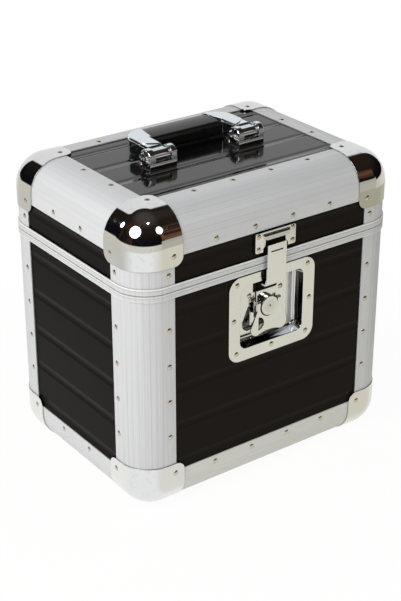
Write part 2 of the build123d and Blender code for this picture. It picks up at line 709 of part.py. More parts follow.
def make_strap():
    """The hook: a strap down the front, bent into the well, that ends in the plate the cam drives."""
    shoulder = CAM_HEIGHT + STRAP_SHOULDER_RISE
    nose = KEEPER_FRONT - NOSE_GAP
    profile = [
        (STRAP_FRONT, STRAP_TOP),
        (STRAP_FRONT, STRAP_BEND),
        (STRAP_FOLD_DEPTH, STRAP_FOLD),
        (HOOK_PLATE, STRAP_FOLD),
        (HOOK_PLATE, shoulder),
        (HOOK_PLATE_BACK, shoulder),
        (HOOK_PLATE_BACK, STRAP_FOLD + STRAP_SHEET),
        (STRAP_FOLD_DEPTH + 0.8, STRAP_FOLD + STRAP_SHEET),
        (STRAP_FRONT + STRAP_SHEET, STRAP_BEND + 0.4),
        (STRAP_FRONT + STRAP_SHEET, STRAP_TOP - STRAP_SHEET),
        (nose, STRAP_TOP - STRAP_SHEET),
        (nose, STRAP_TOP),
    ]
    outline = [(front_y(depth), BOTTOM + height) for depth, height in profile]
    width = (-STRAP_HALF_WIDTH, STRAP_HALF_WIDTH)
    strap = side_prism(outline, width)
    cam = BOTTOM + CAM_HEIGHT
    window_low = cam - ECCENTRIC_THROW - ECCENTRIC_RADIUS - 1.2
    window_high = cam - ECCENTRIC_THROW + ECCENTRIC_RADIUS + 0.35
    plate_depth = (front_y(HOOK_PLATE), front_y(HOOK_PLATE_BACK))
    strap += block(width, plate_depth, (window_low - 4, BOTTOM + shoulder))
    window = (-ECCENTRIC_RADIUS - ECCENTRIC_THROW - 0.5, ECCENTRIC_RADIUS + 0.5)
    strap -= block(window, (front_y(10), front_y(14)), (window_low, window_high))
    slot_depth = (front_y(STRAP_FRONT - 1), front_y(STRAP_FRONT + STRAP_SHEET + 1))
    slot_height = (BOTTOM + STRAP_SLOT[0], BOTTOM + STRAP_SLOT[1])
    strap -= block((-STRAP_SLOT_HALF, STRAP_SLOT_HALF), slot_depth, slot_height)
    save("latch_strap", strap)


def make_keeper():
    """A pressed plate on the lid with a hood over the place where the hook's nose goes in."""
    low = BOTTOM + KEEPER_LOW
    high = BOTTOM + KEEPER_HIGH
    middle = Pos(0, (low + high) / 2)
    outline = middle * RectangleRounded(2 * KEEPER_HALF_WIDTH, high - low, 2.5)
    keeper = front_prism(outline, (KEEPER_FRONT, PANEL_FACE))
    inside = Rectangle(2 * (KEEPER_HALF_WIDTH - KEEPER_SHEET), high - low - 2 * KEEPER_SHEET)
    keeper -= front_prism(middle * inside, (KEEPER_FRONT + KEEPER_SHEET, PANEL_FACE + 1))
    keeper += keeper_hood(HOOD_HALF_WIDTH, 0.0)
    keeper -= keeper_hood(HOOD_HALF_WIDTH - KEEPER_SHEET, KEEPER_SHEET)
    past = (front_y(HOOD_FRONT - 2), front_y(PANEL_FACE + 1))
    keeper -= block((-KEEPER_MOUTH, KEEPER_MOUTH), past, (low - 1, BOTTOM + HOOD_LIP))
    right = [
        (KEEPER_FLARE, low - 1),
        (KEEPER_FLARE, low + KEEPER_FLARE_RISE[0]),
        (KEEPER_MOUTH, low + KEEPER_FLARE_RISE[1]),
    ]
    left = [(-x, z) for x, z in reversed(right)]
    flare = make_face(Polyline(*right, *left, close=True))
    keeper -= front_prism(flare, (HOOD_FRONT - 2, PANEL_FACE + 1))
    for s in (-1, 1):
        for z in KEEPER_RIVET_HEIGHTS:
            start = (s * KEEPER_RIVET_X, front_y(KEEPER_FRONT + 0.5), BOTTOM + z)
            end = (s * KEEPER_RIVET_X, front_y(PANEL_FACE), BOTTOM + z)
            keeper += rod(start, end, RIVET_SHANK_RADIUS + KEEPER_BOSS)
    save("keeper_plate", drill(keeper, KEEPER_SPOTS))


def keeper_hood(half_width, inset):
    """The hood's solid, standing out furthest at its lower lip; inset makes its hollow."""
    lip = BOTTOM + HOOD_LIP
    shoulder = BOTTOM + HOOD_SHOULDER - inset
    crest = BOTTOM + HOOD_CREST - inset
    front = HOOD_FRONT + inset
    back = KEEPER_FRONT + KEEPER_SHEET + inset
    wedge = side_prism(
        [
            (front_y(front), lip - inset),
            (front_y(front + HOOD_LEAN), shoulder),
            (front_y(front + HOOD_LEAN + 0.5), shoulder + 0.7),
            (front_y(front + HOOD_LEAN + 1.4), crest - 0.4),
            (front_y(KEEPER_FRONT + inset), crest),
            (front_y(back), crest),
            (front_y(back), lip - inset),
        ],
        (-half_width, half_width),
    )
    taper = make_face(
        Polyline(
            (-half_width, crest + 1),
            (half_width, crest + 1),
            (half_width - HOOD_TAPER, lip - inset - 1),
            (-half_width + HOOD_TAPER, lip - inset - 1),
            close=True,
        )
    )
    return wedge & front_prism(taper, (front - 1, KEEPER_FRONT + 4))


# ---- hinges --------------------------------------------------------------------------------------
def hinge_axis(x, radius):
    y = HALF_DEPTH + HINGE_AXIS_STAND
    return rod((x[0], y, PART_LINE), (x[1], y, PART_LINE), radius)


def hinge_leaf(up, pad, knuckles, bore):
    """A leaf on the rear face, jogged round the rim; up is +1 for the lid's and -1 for the base's."""

    def heights(near, far):
        pair = (PART_LINE + up * near, PART_LINE + up * far)
        return (min(pair), max(pair))

    x = (-HINGE_HALF_LENGTH, HINGE_HALF_LENGTH)
    seat = HALF_DEPTH - PANEL_FACE
    strip = (HALF_DEPTH + BAND_STAND + 0.3, HALF_DEPTH + BAND_STAND + 0.3 + LEAF)
    jog = BAND_HALF + 0.3
    leaf = block(x, (seat, HALF_DEPTH), heights(jog, pad))
    leaf += block(x, (seat, strip[1]), heights(jog, jog + SKIN))
    leaf += block(x, strip, heights(3.0, jog + SKIN))
    for reach in knuckles:
        leaf += block(reach, strip, heights(0, 3.5))
        leaf += hinge_axis(reach, KNUCKLE_RADIUS)
    leaf -= hinge_axis((-40, 40), bore)
    return leaf


def make_hinges():
    outer = ((-HINGE_HALF_LENGTH, -BASE_KNUCKLE_START), (BASE_KNUCKLE_START, HINGE_HALF_LENGTH))
    base = hinge_leaf(-1, BASE_LEAF_REACH, outer, HINGE_PIN_RADIUS + 0.02)
    inner = ((-LID_KNUCKLE_HALF, LID_KNUCKLE_HALF),)
    lid = hinge_leaf(1, LID_LEAF_REACH, inner, HINGE_PIN_RADIUS + FIT)
    pin = hinge_axis((-HINGE_HALF_LENGTH - 0.5, HINGE_HALF_LENGTH + 0.5), HINGE_PIN_RADIUS)
    for name, s in (("left", -1), ("right", 1)):
        place = Pos(s * HINGE_X, 0, 0)
        save(f"hinge_leaf_base_{name}", drill(place * base, BASE_HINGE_SPOTS))
        save(f"hinge_leaf_lid_{name}", drill(place * lid, LID_HINGE_SPOTS))
    save("hinge_pins", Pos(-HINGE_X, 0, 0) * pin, Pos(HINGE_X, 0, 0) * pin)


# ---- handle --------------------------------------------------------------------------------------
def handle_screw_spots():
    """The screws of both brackets, from the bracket's plate to the backing plate under the panel."""
    length = PANEL_BACK + BRACKET_PLATE_TOP + BACKING_SHEET + 0.1
    found = []
    for s in (-1, 1):
        for t in (-1, 1):
            x = HANDLE_X + s * BRACKET_X + t * SCREW_SPREAD
            found.append((Vector(x, SCREW_Y, TOP + BRACKET_PLATE_TOP), UP, length))
    return found


def screw(spot):
    point, normal, shank = spot
    head = rod((0, 0, 0), (0, 0, SCREW_HEAD_HEIGHT), SCREW_HEAD_RADIUS)
    head -= block((-SCREW_SLOT / 2, SCREW_SLOT / 2), (-4, 4), (SCREW_HEAD_HEIGHT - SCREW_SLOT, 4))
    pin = rod((0, 0, 0.1), (0, 0, -shank), SCREW_RADIUS)
    return Plane(origin=point, z_dir=normal).location * (head + pin)


def pivot_rod(x, radius):
    z = TOP + PIVOT_RISE
    return rod((x[0], PIVOT_Y, z), (x[1], PIVOT_Y, z), radius)


def bracket_cheek():
    """The right cheek of a bracket: a round barrel on a leg, with a pocket in its outer face."""
    floor = TOP - PANEL_FACE
    reach = (CHEEK_INNER, BRACKET_HALF_WIDTH)
    barrel = pivot_rod(reach, CHEEK_RADIUS)
    barrel = fillet(barrel.edges().filter_by(GeomType.CIRCLE).sort_by(Axis.X)[-1], 1.6)
    leg = [
        (BRACKET_FRONT, floor),
        (BRACKET_FRONT, TOP + 14.2),
        (PIVOT_Y, TOP + 12),
        (PIVOT_Y + 5, TOP + 4),
        (PIVOT_Y + 4, floor),
    ]
    cheek = barrel + side_prism(leg, (CHEEK_INNER, BRACKET_HALF_WIDTH - BRACKET_SIDE))
    pocket = Pos(PIVOT_Y, TOP + PIVOT_RISE) * Circle(CHEEK_RADIUS - 1.7)
    lip = make_face(
        Polyline(
            (BRACKET_FRONT, TOP + CHEEK_POCKET_LOW[0]),
            (10, TOP + CHEEK_POCKET_LOW[1]),
            (10, TOP + 30),
            (BRACKET_FRONT, TOP + 30),
            close=True,
        )
    )
    cut = extrude(Plane.YZ * (pocket & lip), amount=CHEEK_POCKET + 1, dir=(1, 0, 0))
    return cheek - Pos(BRACKET_HALF_WIDTH - CHEEK_POCKET, 0, 0) * cut


def handle_bracket():
    """Two cheeks and a front wall with a window, on a base plate; x from the bracket's own middle."""
    floor = TOP - PANEL_FACE
    wide = (-BRACKET_HALF_WIDTH + BRACKET_SIDE, BRACKET_HALF_WIDTH - BRACKET_SIDE)
    wall = (BRACKET_FRONT, BRACKET_FRONT + BRACKET_WALL)
    bracket = block(wide, (BRACKET_FRONT, BRACKET_BACK), (floor, TOP + BRACKET_PLATE_TOP))
    bracket += block(wide, wall, (floor, TOP + BRACKET_WALL_TOP))
    window = (TOP + BRACKET_WINDOW[0], TOP + BRACKET_WINDOW[1])
    bracket -= block(
        (-BRACKET_WINDOW_HALF, BRACKET_WINDOW_HALF), (wall[0] - 1, wall[1] + 1), window
    )
    cheek = bracket_cheek()
    bracket += cheek
    bracket += mirror(cheek, about=Plane.YZ)
    bracket -= pivot_rod((-30, 30), PIVOT_PIN_RADIUS + 0.02)
    return bracket


def past_grip(gap):
    """Everything beyond the slanted right end of the grip, as a plan, from a gap away from it."""
    lean = (GRIP_END_FRONT - GRIP_END_BACK) / (GRIP_BACK - GRIP_FRONT)
    overrun = 10
    return make_face(
        Polyline(
            (GRIP_END_FRONT + gap, PIVOT_Y),
            (GRIP_END_FRONT + gap, GRIP_FRONT),
            (GRIP_END_BACK - lean * overrun + gap, GRIP_BACK + overrun),
            (ARM_OUTER + overrun, GRIP_BACK + overrun),
            (ARM_OUTER + overrun, PIVOT_Y),
            close=True,
        )
    )


def arm_plan():
    """The plan of the right arm, run on past the hub and past the end of the grip."""
    hub_inner = BRACKET_X - HUB_HALF_WIDTH
    overrun = GRIP_END_BACK - 1.8
    near = GRIP_FRONT - 0.3
    far = GRIP_BACK + 0.3
    outer = Polyline((ARM_OUTER, -20), (ARM_OUTER, 30))
    bend = ThreePointArc((ARM_OUTER, 30), (66.2, 46), (50, far))
    inner = Polyline(
        (50, far),
        (overrun, far),
        (overrun, near),
        (GRIP_END_FRONT + 0.4, near),
        (hub_inner, 3.4),
        (hub_inner, -20),
        (ARM_OUTER, -20),
    )
    return make_face(outer + bend + inner)


def rounded_slab(plan, low, high):
    """A plan drawn up between two heights above the top face, with all its level edges rounded."""
    slab = Pos(0, 0, TOP + low) * extrude(plan, amount=high - low)
    return fillet(slab.edges().filter_by(Plane.XY), ARM_EDGE_RADIUS)


def handle_arm():
    """The right arm: a hub, and a broad arm with a raised end that caps the grip; x from the middle."""
    plan = arm_plan()
    start = (BRACKET_X - 17, 0.5)
    end = (BRACKET_X + 14, 24)
    step = ThreePointArc(start, (BRACKET_X + 3, 7.5), end)
    beyond = make_face(step + Polyline(end, (90, 70), (0, 70), (0, 0.5), start))
    raised = extrude(Pos(0, 0, TOP) * beyond, amount=50)
    paddle = block((0, 90), (ARM_PADDLE, 70), (TOP, TOP + 50))
    past_hub = side_prism(
        [
            (ARM_HUB_END[0], TOP),
            (ARM_HUB_END[0], TOP + ARM_HUB_HIGH - 0.1),
            (ARM_HUB_END[1], TOP + ARM_HIGH),
            (ARM_HUB_END[1], TOP + 50),
            (70, TOP + 50),
            (70, TOP),
        ],
        (0, 90),
    )
    arm = rounded_slab(plan, ARM_LOW, ARM_HUB_HIGH)
    arm += rounded_slab(plan, ARM_LOW, ARM_HIGH - ARM_STEP) & past_hub
    arm += rounded_slab(plan, ARM_LOW, ARM_HIGH) & raised
    arm += rounded_slab(plan, GRIP_LOW, ARM_HIGH) & raised & paddle
    arm &= extrude(Pos(0, 0, TOP) * past_grip(0.2), amount=50)
    arm += pivot_rod((BRACKET_X - HUB_HALF_WIDTH, BRACKET_X + HUB_HALF_WIDTH), HUB_RADIUS)
    arm -= grip_rod((0, GRIP_ROD_HALF_LENGTH + 0.2), GRIP_ROD_RADIUS + FIT)
    arm -= pivot_rod((0, 90), PIVOT_PIN_RADIUS + FIT)
    return arm


def grip_rod(x, radius):
    y = (GRIP_FRONT + GRIP_BACK) / 2
    z = TOP + (GRIP_LOW + GRIP_HIGH) / 2
    return rod((x[0], y, z), (x[1], y, z), radius)


def make_grip():
    front = (GRIP_FRONT, TOP + GRIP_SHOULDERS[0])
    back = (GRIP_BACK, TOP + GRIP_SHOULDERS[1])
    middle = ((GRIP_FRONT + GRIP_BACK) / 2, TOP + GRIP_HIGH)
    crown = ThreePointArc(back, middle, front)
    sides = Polyline(front, (GRIP_FRONT, TOP + GRIP_LOW), (GRIP_BACK, TOP + GRIP_LOW), back)
    section = make_face(crown + sides)
    section = fillet(section.vertices(), GRIP_CORNER)
    grip = extrude(Plane.YZ * section, amount=GRIP_END_FRONT, both=True)
    end = extrude(Pos(0, 0, TOP) * past_grip(0), amount=50)
    grip -= end
    grip -= mirror(end, about=Plane.YZ)
    return grip - grip_rod((-50, 50), GRIP_ROD_RADIUS + FIT)


def make_handle():
    middle = Pos(HANDLE_X, 0, 0)
    places = [Pos(HANDLE_X + s * BRACKET_X, 0, 0) for s in (-1, 1)]
    screws = handle_screw_spots()
    bracket = handle_bracket()
    for name, place in zip(("left", "right"), places):
        save(f"handle_bracket_{name}", drill(place * bracket, screws, SCREW_HOLE_RADIUS))
    arm = handle_arm()
    save("handle_arm_right", middle * arm)
    save("handle_arm_left", middle * mirror(arm, about=Plane.YZ))
    save("handle_grip", middle * make_grip())
    reach = (-GRIP_ROD_HALF_LENGTH, GRIP_ROD_HALF_LENGTH)
    save("handle_grip_rod", middle * grip_rod(reach, GRIP_ROD_RADIUS))
    pin_half = BRACKET_HALF_WIDTH - CHEEK_POCKET
    pin = pivot_rod((-pin_half, pin_half), PIVOT_PIN_RADIUS)
    save("handle_pivot_pins", *[place * pin for place in places])
    under = TOP - PANEL_BACK - 0.1
    plate = block(
        (-BACKING_HALF_LENGTH, BACKING_HALF_LENGTH),
        (BRACKET_FRONT + 1, BRACKET_BACK - 0.5),
        (under - BACKING_SHEET, under),
    )
    plates = [drill(place * plate, screws, SCREW_HOLE_RADIUS) for place in places]
    save("handle_backing_plates", *plates)
    save("handle_screws", *[screw(spot) for spot in screws])


# ---- all the rivets ------------------------------------------------------------------------------
def make_rivets():
    base = [dome_rivet(s) for s in BASE_PROFILE_RIVETS + BASE_CAP_RIVETS + BASE_HINGE_SPOTS]
    base += [flush_rivet(s) for s in BASE_CAP_FLUSH_RIVETS]
    save("base_rivets", *base)
    lid = LID_PROFILE_RIVETS + LID_CAP_RIVETS + LID_HINGE_SPOTS
    save("lid_rivets", *[dome_rivet(s) for s in lid])
    save("latch_dish_rivets", *[dome_rivet(s) for s in DISH_SPOTS + FLOOR_SPOTS])
    save("keeper_rivets", *[dome_rivet(s) for s in KEEPER_SPOTS])


os.makedirs("parts", exist_ok=True)
make_panels()
make_profiles()
make_rims()
make_caps()
make_linings()
make_dish()
make_cam()
make_wing()
make_strap()
make_keeper()
make_hinges()
make_handle()
make_rivets()
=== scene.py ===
"""Looks of the record carrying case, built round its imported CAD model. Metres, in the model's frame."""

import math

import bmesh
import bpy
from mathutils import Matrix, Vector, noise


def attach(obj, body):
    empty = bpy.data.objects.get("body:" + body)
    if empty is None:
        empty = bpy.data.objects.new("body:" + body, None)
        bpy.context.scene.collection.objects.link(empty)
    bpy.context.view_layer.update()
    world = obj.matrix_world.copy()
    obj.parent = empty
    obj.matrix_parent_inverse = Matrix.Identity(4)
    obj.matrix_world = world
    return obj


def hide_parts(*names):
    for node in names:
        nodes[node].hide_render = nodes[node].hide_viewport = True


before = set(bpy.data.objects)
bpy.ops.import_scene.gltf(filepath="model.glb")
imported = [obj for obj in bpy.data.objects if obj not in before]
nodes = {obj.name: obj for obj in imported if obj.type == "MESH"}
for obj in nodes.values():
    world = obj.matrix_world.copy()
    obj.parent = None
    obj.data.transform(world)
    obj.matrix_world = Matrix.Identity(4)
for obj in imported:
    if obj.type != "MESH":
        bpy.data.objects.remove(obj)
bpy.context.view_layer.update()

# The case, with the part line between its base and its lid
HALF_WIDTH = 0.180
HALF_DEPTH = 0.133
BOTTOM = 0.0012
TOP = 0.3582
PART_LINE = 0.2721
EDGE_RADIUS = 0.037

# Channels pressed into the boards, and how deep they look
RIB_PITCH = 0.0469
FIRST_RIBS = {"base": 0.0583, "lid": 0.3013}
TOP_RIB_PITCH = 0.0462
TOP_FIRST_RIB = -0.0720
RIB_DEPTH = 0.0009

# Flutes drawn along the round of each profile; they fade in between two distances from its middle
FLUTE_PITCH = 0.00674
FLUTE_DEPTH = 0.00009
FLUTES_FADE = (0.0262, 0.0255)

# The handle: its middle, the lid's channel under its grip, and spans in y where its finishes change
HANDLE_X = -0.0025
CHANNEL_UNDER_GRIP = 0.0204
GRIP_HELD = (0.049, 0.040)
BRACKET_FRONT = (-0.0163, -0.0168)

# The catch's round parts: the cam's axis and two rings round it, each a radius and a half width, where
# shade is painted
CAM_HEIGHT = 0.2138
DISC_RIM = (0.0106, 0.0014)
DISC_SHADE = (0.0121, 0.0006)

# The well's walls, as a middle and a half width in y
WELL_WALLS = (-0.1259, 0.0062)

# Places on the catch where one tone has given way to another, from start to end: y, or z on the lobes
DISC_DEPTHS = (-0.1280, -0.1284)
WING_FRONT = (-0.1272, -0.1268)
WING_LOBES = (0.2, 0.198)
WING_BACK_LOBES = (0.206, 0.2)
WELL_FLOOR = (-0.1196, -0.1192)
SUNK_STRAP_Y = (-0.1300, -0.1285)
SUNK_STRAP_Z = (0.2316, 0.2324)

# Foam boards: how far their faces are from the case's outside, and how the foam is rounded
FOAM_FACE = 0.0123
FOAM_BACK = 0.0173
FOAM_FROM_RIM = 0.0159
FOAM_ROUND = 0.0018
FOAM_CROWN = 0.0006
FOAM_DENT = 0.0004
GRID_STEP = 0.009
GRID_ENDS = (0.0, 0.0003, 0.0009, 0.0018, 0.0035)

# The pocket that the front board leaves for the catch's well
WELL_POCKET = ((-0.0479, 0.0479), (BOTTOM + 0.1688, BOTTOM + 0.2522))
WELL_POCKET_DEPTH = 0.0039
POCKET_RIM = (-0.0005, 0.0005)

# The studio; the lamps aim at the lid's front left corner
CAMERA_PLACE = (-0.9031, -1.2280, 0.9288)
CAMERA_SIGHT = (0.5297, 0.7212, -0.4465)
CAMERA_LENS = 85.81
LAMP_AIM = (-0.15, -0.12, 0.342)
FLOOR_HEIGHT = -0.0004
WHITE = (1.0, 1.0, 1.0, 1.0)


# ---- node helpers -----------------------------------------------------------------------------------
class Graph:
    """A small wrapper that adds and links shader nodes."""

    def __init__(self, tree):
        self.tree = tree
        self.tree.nodes.clear()

    def add(self, kind, inputs=None, **settings):
        node = self.tree.nodes.new("ShaderNode" + kind)
        for key, value in settings.items():
            setattr(node, key, value)
        for key, value in (inputs or {}).items():
            self.plug(node, key, value)
        return node

    def plug(self, node, key, value):
        socket = node.inputs[key]
        if isinstance(value, bpy.types.NodeSocket):
            self.tree.links.new(value, socket)
        elif isinstance(value, bpy.types.Node):
            self.tree.links.new(value.outputs[0], socket)
        else:
            socket.default_value = value

    def math(self, operation, *values):
        node = self.add("Math", operation=operation)
        for i, value in enumerate(values):
            self.plug(node, i, value)
        return node.outputs[0]

    def times(self, first, *others):
        for other in others:
            first = self.math("MULTIPLY", first, other)
        return first

    def plus(self, a, b):
        return self.math("ADD", a, b)

    def minus(self, a, b):
        return self.math("SUBTRACT", a, b)

    def absolute(self, value):
        return self.math("ABSOLUTE", value)

    def smooth(self, value, low, high, out_low=0.0, out_high=1.0):
        """Turns low into out_low and high into out_high, smoothly between and level beyond."""
        node = self.add("MapRange", interpolation_type="SMOOTHSTEP", clamp=True)
        for key, v in zip(range(5), (value, low, high, out_low, out_high)):
            self.plug(node, key, v)
        return node.outputs[0]

    def band(self, value, middle, half, soft):
        """1 where the value is within half of the middle, with soft edges."""
        return self.smooth(self.absolute(self.minus(value, middle)), half + soft, half)

    def noise(self, vector, scale, detail=3.0, roughness=0.5):
        settings = {"Vector": vector, "Scale": scale, "Detail": detail, "Roughness": roughness}
        return self.add("TexNoise", settings).outputs[0]

    def stretched(self, vector, x, y, z):
        return self.add("Mapping", {"Vector": vector, "Scale": (x, y, z)}).outputs[0]

    def streaks(self, vector, x, y, z, detail=3.0, roughness=0.6):
        """Noise drawn out along the axes whose scales are small."""
        return self.noise(self.stretched(vector, x, y, z), 1.0, detail, roughness)

    def mix(self, factor, a, b):
        return self.add("Mix", {0: factor, 6: a, 7: b}, data_type="RGBA").outputs[2]

    def crevice(self, reach, open_at, closed_at):
        """1 deep in the corners between pieces, 0 in the open."""
        hidden = self.add("AmbientOcclusion", {"Distance": reach}, samples=6)
        return self.smooth(hidden.outputs["AO"], open_at, closed_at)

    def bump(self, height, distance, strength=1.0, normal=None, invert=False):
        inputs = {"Height": height, "Distance": distance, "Strength": strength}
        if normal is not None:
            inputs["Normal"] = normal
        return self.add("Bump", inputs, invert=invert).outputs[0]


def rgb(r, g, b):
    """Linear colour from 0-255 sRGB values."""

    def linear(v):
        v /= 255.0
        return v / 12.92 if v <= 0.04045 else ((v + 0.055) / 1.055) ** 2.4

    return (linear(r), linear(g), linear(b), 1.0)


def dimmed(tint, share):
    """The tint with its strength cut to a share."""
    return tuple(c * share for c in tint[:3]) + (1.0,)


def new_material(name):
    """A material with its graph, its object coordinates and those split into x, y and z."""
    material = bpy.data.materials.new(name)
    material.use_nodes = True
    g = Graph(material.node_tree)
    place = g.add("TexCoord").outputs["Object"]
    split = g.add("SeparateXYZ", {0: place})
    return material, g, place, split.outputs


def finish_material(g, settings):
    shader = g.add("BsdfPrincipled", settings)
    g.add("OutputMaterial", {"Surface": shader.outputs[0]})


def finish_metal(g, colour, rough, normal, metallic=1.0):
    settings = {"Base Color": colour, "Metallic": metallic, "Roughness": rough, "Normal": normal}
    finish_material(g, settings)


def softened(g, radius):
    """The surface's direction, rounded over its edges."""
    return g.add("Bevel", {"Radius": radius}, samples=4).outputs[0]


def edge_mask(g, soft):
    """1 on the outer edges of a shape, where its softened direction turns away, and 0 elsewhere."""
    normal = g.add("NewGeometry").outputs["Normal"]
    dot = g.add("VectorMath", {0: soft, 1: normal}, operation="DOT_PRODUCT")
    return g.smooth(dot.outputs["Value"], 0.995, 0.93)


def facing(g):
    """The components of the surface's own direction."""
    normal = g.add("NewGeometry").outputs["Normal"]
    return g.add("SeparateXYZ", {0: normal}).outputs


# ---- marks that several finishes share --------------------------------------------------------------
def pressed_waves(g, place):
    """The faint unevenness of pressed sheet."""
    return g.noise(place, 32.0, 2.0, 0.4)


def rub_marks(g, place):
    """Fine upright rubbing marks."""
    return g.smooth(g.streaks(place, 900.0, 900.0, 60.0, 2.0), 0.5, 0.75)


def dull_spots(g, place):
    """Small places where the polish has gone."""
    return g.smooth(g.noise(place, 160.0, 4.0, 0.6), 0.52, 0.7)


def shade_speckle(g, place, low, high):
    """Speckle that breaks up the painted shade in the catch's hollows."""
    return g.smooth(g.noise(place, 420.0, 3.0, 0.7), low, high)


def corner_shaded(g, colour, corners=(0.002, 0.7, 0.25), amount=0.8, tone=rgb(40, 37, 33)):
    """The colour darkened in the corners between pieces, as painted shade."""
    return g.mix(g.times(g.crevice(*corners), amount), colour, tone)


# ---- materials --------------------------------------------------------------------------------------
def laminate(name, axis, first_rib, pitch, tones, ior, roughness):
    """Black laminate with shallow pressed channels across the axis, matt and painted near black as shade
    along its joints.
    """
    m, g, place, xyz = new_material(name)
    along = g.math("DIVIDE", g.minus(xyz[axis], first_rib), pitch)
    off = g.absolute(g.minus(g.math("FRACT", g.plus(along, 0.5)), 0.5))
    channel = g.smooth(g.times(off, pitch), 0.0068, 0.0008)
    if axis == 1:
        beside_handle = g.band(xyz[0], HANDLE_X, 0.052, 0.006)
        worn_flat = g.times(beside_handle, g.band(xyz[1], CHANNEL_UNDER_GRIP, 0.009, 0.003))
        channel = g.times(channel, g.minus(1.0, worn_flat))
    grain = g.noise(place, 900.0, 2.0)
    cloud = g.noise(place, 14.0, 3.0)
    soft = softened(g, 0.0006)
    wear = g.times(edge_mask(g, soft), g.smooth(g.noise(place, 120.0), 0.5, 0.62))
    colour = g.mix(g.times(wear, 0.4), g.mix(cloud, *tones), rgb(80, 72, 64))
    # Along the joints the colour is painted near black as shade, and the surface is made matt as by dust.
    joint_dust_and_shade = g.crevice(0.0035, 0.86, 0.5)
    colour = g.mix(joint_dust_and_shade, colour, rgb(3, 3, 3))
    rough = g.plus(g.times(cloud, 0.1), roughness - 0.05)
    rough = g.plus(rough, g.times(joint_dust_and_shade, 0.6))
    normal = g.bump(channel, RIB_DEPTH, normal=soft, invert=True)
    normal = g.bump(grain, 0.000012, 0.5, normal)
    finish_material(g, {"Base Color": colour, "Roughness": rough, "IOR": ior, "Normal": normal})
    return m


def flute_lines(g, xyz, across):
    """1 in the fine grooves along the round of a profile whose section lies across two axes."""

    def depth(axis):
        if axis == 2:
            from_middle = g.absolute(g.minus(xyz[2], (TOP + BOTTOM) / 2))
            return g.minus((TOP - BOTTOM) / 2, from_middle)
        return g.minus((HALF_WIDTH, HALF_DEPTH)[axis], g.absolute(xyz[axis]))

    near = [g.math("MAXIMUM", g.minus(EDGE_RADIUS, depth(axis)), 0.0) for axis in across]
    turn = g.times(g.math("ARCTAN2", *near), EDGE_RADIUS)
    from_middle = g.minus(turn, EDGE_RADIUS * math.pi / 4)
    step = g.math("FRACT", g.plus(g.math("DIVIDE", from_middle, FLUTE_PITCH), 10.0))
    off = g.times(g.absolute(g.minus(step, 0.5)), FLUTE_PITCH)
    return g.times(g.smooth(off, 0.0007, 0.0001), g.smooth(g.absolute(from_middle), *FLUTES_FADE))


def aluminium(name, across, tint, roughness, lines=(), marked=1.0):
    """Anodised extrusion; across gives the two axes whose plane the profile's section lies in.

    Each of the lines is a height, a half width, a tone and its strength along the rims. The
    flutes and drawing marks are as strong as marked says.
    """
    m, g, place, xyz = new_material(name)
    flute = flute_lines(g, xyz, across)
    scales = [1300.0, 1300.0, 1300.0]
    scales[3 - sum(across)] = 5.0
    drawn = g.streaks(place, *scales)
    cloud = g.noise(place, 22.0, 4.0, 0.6)
    soft = softened(g, 0.0005)
    colour = g.mix(g.smooth(drawn, 0.3, 0.7), tint, dimmed(tint, 1.0 - 0.12 * marked))
    # Painted shade: the flutes are darker in their grooves.
    colour = g.mix(g.times(flute, 0.24 * marked), colour, dimmed(tint, 0.45))
    # The lines along the rims are painted shade and painted highlights.
    for height, half, tone, amount in lines:
        line = g.band(xyz[2], height, half, 0.0003)
        colour = g.mix(g.times(line, amount), colour, tone)
    # Painted shade in the corners between pieces.
    colour = corner_shaded(g, colour, (0.003, 0.8, 0.3), 0.85, rgb(70, 66, 60))
    # Painted highlight: the edges are lightened nearly to white.
    colour = g.mix(g.times(edge_mask(g, soft), 0.8), colour, rgb(250, 250, 249))
    rough = g.plus(g.times(cloud, 0.12), roughness - 0.06)
    normal = g.bump(flute, FLUTE_DEPTH, normal=soft, invert=True)
    normal = g.bump(drawn, 0.000006, 0.6, normal)
    finish_metal(g, colour, rough, normal, 0.4)
    return m


def plated(name, tint, roughness):
    """Polished plate: a little waviness from pressing, fine rubbing marks, spots where the polish has
    gone and painted shade in the corners.
    """
    m, g, place, _ = new_material(name)
    spots = dull_spots(g, place)
    soft = softened(g, 0.0004)
    # Painted shade in the corners between pieces.
    colour = corner_shaded(g, g.mix(g.times(spots, 0.25), tint, dimmed(tint, 0.86)))
    rough = g.plus(roughness, g.times(spots, 0.05))
    rough = g.plus(rough, g.times(rub_marks(g, place), 0.04))
    finish_metal(g, colour, rough, g.bump(pressed_waves(g, place), 0.00004, normal=soft))
    return m


def corner_plate(name):
    """Ball corners: polished steel with painted shade on the flat front ears, on the edges and where
    pieces meet, and painted light on the lid's left ears.
    """
    m, g, place, xyz = new_material(name)
    turned = facing(g)
    spots = dull_spots(g, place)
    soft = softened(g, 0.0006)
    colour = g.mix(spots, rgb(225, 226, 226), rgb(218, 218, 216))
    # Painted shade: faces turned to the front get a darker tone.
    colour = g.mix(g.smooth(turned[1], -0.9, -0.985), colour, rgb(212, 211, 205))
    on_lid = g.smooth(xyz[2], PART_LINE - 0.01, PART_LINE + 0.01)
    # Painted light and shade: faces turned to the left are lighter on the lid than on the base.
    left = g.mix(on_lid, rgb(229, 229, 226), rgb(214, 213, 207))
    # Painted shade in the corners between pieces.
    colour = corner_shaded(g, g.mix(g.smooth(turned[0], -0.9, -0.985), colour, left))
    # Painted shade: the edges are darkened.
    colour = g.mix(g.times(edge_mask(g, soft), 0.5), colour, rgb(120, 118, 112))
    rough = g.plus(0.045, g.times(spots, 0.05))
    finish_metal(g, colour, rough, g.bump(pressed_waves(g, place), 0.00004, normal=soft))
    return m


